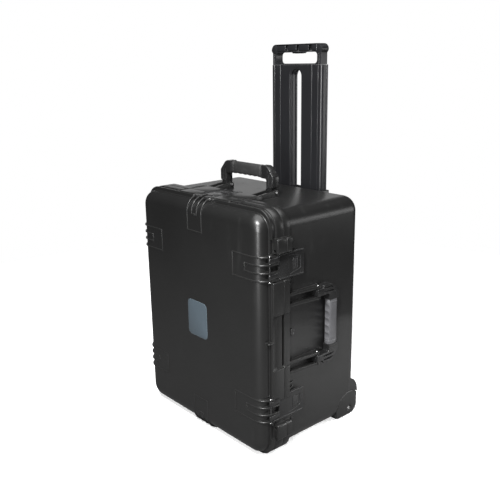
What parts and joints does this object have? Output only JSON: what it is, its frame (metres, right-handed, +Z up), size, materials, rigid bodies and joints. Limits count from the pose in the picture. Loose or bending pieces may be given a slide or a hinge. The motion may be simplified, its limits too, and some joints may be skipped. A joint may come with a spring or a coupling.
{
  "type": "wheeled transport case",
  "caption": "Hard plastic transport case standing on end, with a hinged lid, lever latches, folding handles, wheels and a pull-out trolley handle.",
  "frame": {"origin": "middle of the footprint, on the floor that the case stands on", "axes": "+Z up along the trolley handle, +X to the latch side, +Y to the trolley side; the lid faces -Y"},
  "size_m": [0.519, 0.3856, 0.9902],
  "materials": {
    "shell": "satin moulded polymer, near-black charcoal, fine grain",
    "fitting": "satin moulded nylon, black",
    "trolley": "smooth moulded polymer, graphite",
    "grip": "soft overmoulded rubber, mid grey",
    "dark_grip": "soft overmoulded rubber, charcoal",
    "label": "matt slate blue-grey",
    "steel": "plain ground steel",
    "seal": "matt black seal rubber",
    "tyre": "matt black solid tyre"
  },
  "bodies": {
    "base": {"base_shell": "shell", "pressure_valve": "fitting", "hinge_pin_upper": "steel", "hinge_pin_lower": "steel", "top_handle_pin_right": "steel", "top_handle_pin_left": "steel", "side_handle_pin_lower": "steel", "side_handle_pin_upper": "steel", "trolley_guide": "fitting", "guide_screw_1": "steel", "guide_screw_2": "steel", "guide_screw_3": "steel", "guide_screw_4": "steel", "wheel_housing_right": "shell", "wheel_housing_left": "shell", "wheel_axle_right": "steel", "wheel_axle_left": "steel"},
    "lid": {"lid_shell": "shell", "lid_gasket": "seal", "label_plate": "label", "latch_pin_top": "steel", "latch_pin_bottom": "steel", "latch_pin_right_upper": "steel", "latch_pin_right_lower": "steel"},
    "latch_top": {"latch_top": "fitting"},
    "latch_button_top": {"latch_button_top": "fitting"},
    "latch_bottom": {"latch_bottom": "fitting"},
    "latch_button_bottom": {"latch_button_bottom": "fitting"},
    "latch_right_upper": {"latch_right_upper": "fitting"},
    "latch_button_right_upper": {"latch_button_right_upper": "fitting"},
    "latch_right_lower": {"latch_right_lower": "fitting"},
    "latch_button_right_lower": {"latch_button_right_lower": "fitting"},
    "top_handle": {"top_handle_frame": "fitting", "top_handle_grip": "dark_grip"},
    "side_handle": {"side_handle_frame": "fitting", "side_handle_grip": "grip"},
    "trolley": {"trolley_panel": "trolley", "trolley_loop": "trolley"},
    "trolley_trigger": {"trolley_trigger": "fitting"},
    "trolley_lock_bolt_right": {"trolley_lock_bolt_right": "steel"},
    "trolley_lock_bolt_left": {"trolley_lock_bolt_left": "steel"},
    "wheel_right": {"wheel_tyre_right": "tyre", "wheel_hub_right": "fitting", "wheel_bearing_outer_right": "steel", "wheel_bearing_inner_right": "steel"},
    "wheel_left": {"wheel_tyre_left": "tyre", "wheel_hub_left": "fitting", "wheel_bearing_outer_left": "steel", "wheel_bearing_inner_left": "steel"}
  },
  "joints": [
    {"name": "lid_hinge", "type": "hinge", "parent": "base", "child": "lid", "pos_m": [-0.2535, -0.12285, 0.3147], "axis": [0, 0, -1], "range_deg": [0, 110]},
    {"name": "latch_top_lift", "type": "hinge", "parent": "lid", "child": "latch_top", "pos_m": [0, -0.16485, 0.6248], "axis": [1, 0, 0], "range_deg": [0, 100]},
    {"name": "latch_button_top_press", "type": "slide", "parent": "latch_top", "child": "latch_button_top", "axis": [0, 0, -1], "range_m": [0, 0.0015], "stiffness_N_per_m": 600, "springref_m": -0.001},
    {"name": "latch_bottom_lift", "type": "hinge", "parent": "lid", "child": "latch_bottom", "pos_m": [0, -0.16485, 0.0046], "axis": [-1, 0, 0], "range_deg": [0, 100]},
    {"name": "latch_button_bottom_press", "type": "slide", "parent": "latch_bottom", "child": "latch_button_bottom", "axis": [0, 0, 1], "range_m": [0, 0.0015], "stiffness_N_per_m": 600, "springref_m": -0.001},
    {"name": "latch_right_upper_lift", "type": "hinge", "parent": "lid", "child": "latch_right_upper", "pos_m": [0.2456, -0.16485, 0.4932], "axis": [0, 0, -1], "range_deg": [0, 100]},
    {"name": "latch_button_right_upper_press", "type": "slide", "parent": "latch_right_upper", "child": "latch_button_right_upper", "axis": [-1, 0, 0], "range_m": [0, 0.0015], "stiffness_N_per_m": 600, "springref_m": -0.001},
    {"name": "latch_right_lower_lift", "type": "hinge", "parent": "lid", "child": "latch_right_lower", "pos_m": [0.2456, -0.16485, 0.1362], "axis": [0, 0, -1], "range_deg": [0, 100]},
    {"name": "latch_button_right_lower_press", "type": "slide", "parent": "latch_right_lower", "child": "latch_button_right_lower", "axis": [-1, 0, 0], "range_m": [0, 0.0015], "stiffness_N_per_m": 600, "springref_m": -0.001},
    {"name": "top_handle_fold", "type": "hinge", "parent": "base", "child": "top_handle", "pos_m": [0, -0.00985, 0.6282], "axis": [-1, 0, 0], "range_deg": [0, 90]},
    {"name": "side_handle_swing", "type": "hinge", "parent": "base", "child": "side_handle", "pos_m": [0.249, -0.00985, 0.3162], "axis": [0, 0, -1], "range_deg": [0, 90]},
    {"name": "trolley_slide", "type": "slide", "parent": "base", "child": "trolley", "axis": [0, 0, -1], "range_m": [0, 0.34]},
    {"name": "trolley_trigger_pull", "type": "slide", "parent": "trolley", "child": "trolley_trigger", "axis": [0, 0, 1], "range_m": [0, 0.004], "stiffness_N_per_m": 600, "springref_m": -0.002},
    {"name": "trolley_lock_bolt_right_draw", "type": "slide", "parent": "trolley", "child": "trolley_lock_bolt_right", "axis": [-1, 0, 0], "range_m": [0, 0.004]},
    {"name": "trolley_lock_bolt_left_draw", "type": "slide", "parent": "trolley", "child": "trolley_lock_bolt_left", "axis": [1, 0, 0], "range_m": [0, 0.004]},
    {"name": "wheel_right_spin", "type": "hinge", "parent": "base", "child": "wheel_right", "pos_m": [0.209, 0.13515, 0.0302], "axis": [1, 0, 0], "continuous": true},
    {"name": "wheel_left_spin", "type": "hinge", "parent": "base", "child": "wheel_left", "pos_m": [-0.209, 0.13515, 0.0302], "axis": [1, 0, 0], "continuous": true}
  ],
  "couplings": [
    {"joint": "trolley_lock_bolt_right_draw", "follows": "trolley_trigger_pull", "ratio": 1},
    {"joint": "trolley_lock_bolt_left_draw", "follows": "trolley_trigger_pull", "ratio": 1}
  ]
}
